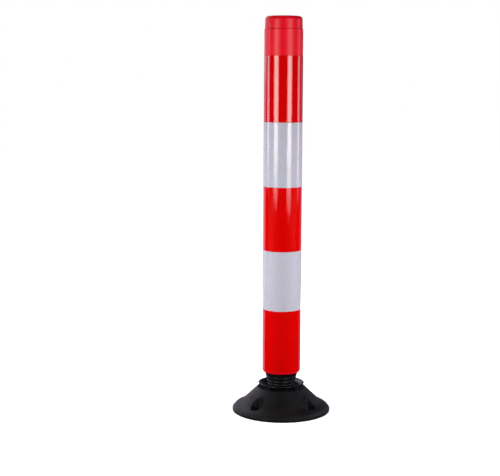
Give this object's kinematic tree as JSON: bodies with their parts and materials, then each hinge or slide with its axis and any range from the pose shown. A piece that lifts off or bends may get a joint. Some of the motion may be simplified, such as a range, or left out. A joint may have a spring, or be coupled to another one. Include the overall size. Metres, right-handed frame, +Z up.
{
  "type": "delineator post",
  "caption": "Flexible traffic delineator post: hollow tube with reflective film bands and a push-in cap, on a self-righting rubber neck and a screw-in flange in a round anchored rubber base.",
  "frame": {"origin": "centre of the base's underside, on the ground", "axes": "+Z up along the post, -Y towards the viewer; the anchors lie at 45 degrees between the X and Y axes and the film's seam faces +Y"},
  "size_m": [0.206, 0.206, 0.825],
  "materials": {
    "base_rubber": "satin",
    "zinc_steel": "zinc plated",
    "washer_nylon": "matte",
    "flange_plastic": "satin",
    "neck_rubber": "satin",
    "tube_red": "satin",
    "cap_red": "satin",
    "film_red": "gloss, with a fine retroreflective lattice",
    "film_white": "gloss, with a fine retroreflective lattice"
  },
  "bodies": {
    "base": {"base_body": "base_rubber", "socket_insert": "zinc_steel", "anchor_bush_1": "zinc_steel", "anchor_bush_2": "zinc_steel", "anchor_bush_3": "zinc_steel", "anchor_bush_4": "zinc_steel"},
    "washer": {"thrust_washer": "washer_nylon"},
    "flange": {"screw_flange": "flange_plastic", "lower_stud": "zinc_steel", "lower_washer": "zinc_steel", "lower_nut": "zinc_steel"},
    "neck": {"flex_neck": "neck_rubber"},
    "post": {"upper_stud": "zinc_steel", "upper_washer": "zinc_steel", "upper_nut": "zinc_steel", "post_tube": "tube_red", "top_cap": "cap_red", "film_red_low": "film_red", "film_white_low": "film_white", "film_red_mid": "film_red", "film_white_high": "film_white", "film_red_high": "film_red"}
  },
  "joints": [
    {"name": "post_rise", "type": "slide", "parent": "base", "child": "washer", "axis": [0, 0, 1], "range_m": [0, 0.02401]},
    {"name": "post_unscrew", "type": "hinge", "parent": "washer", "child": "flange", "pos_m": [0, 0, 0], "axis": [0, 0, 1], "range_deg": [0, 1080]},
    {"name": "lean_fore_aft", "type": "hinge", "parent": "flange", "child": "neck", "pos_m": [0, 0, 0.0686], "axis": [1, 0, 0], "range_deg": [-25, 25], "stiffness_Nm_per_rad": 60, "deforming": ["flex_neck"]},
    {"name": "lean_sideways", "type": "hinge", "parent": "neck", "child": "post", "pos_m": [0, 0, 0.0686], "axis": [0, 1, 0], "range_deg": [-25, 25], "stiffness_Nm_per_rad": 60}
  ],
  "couplings": [
    {"joint": "post_rise", "follows": "post_unscrew", "m_per_rad": 0.0012732}
  ]
}
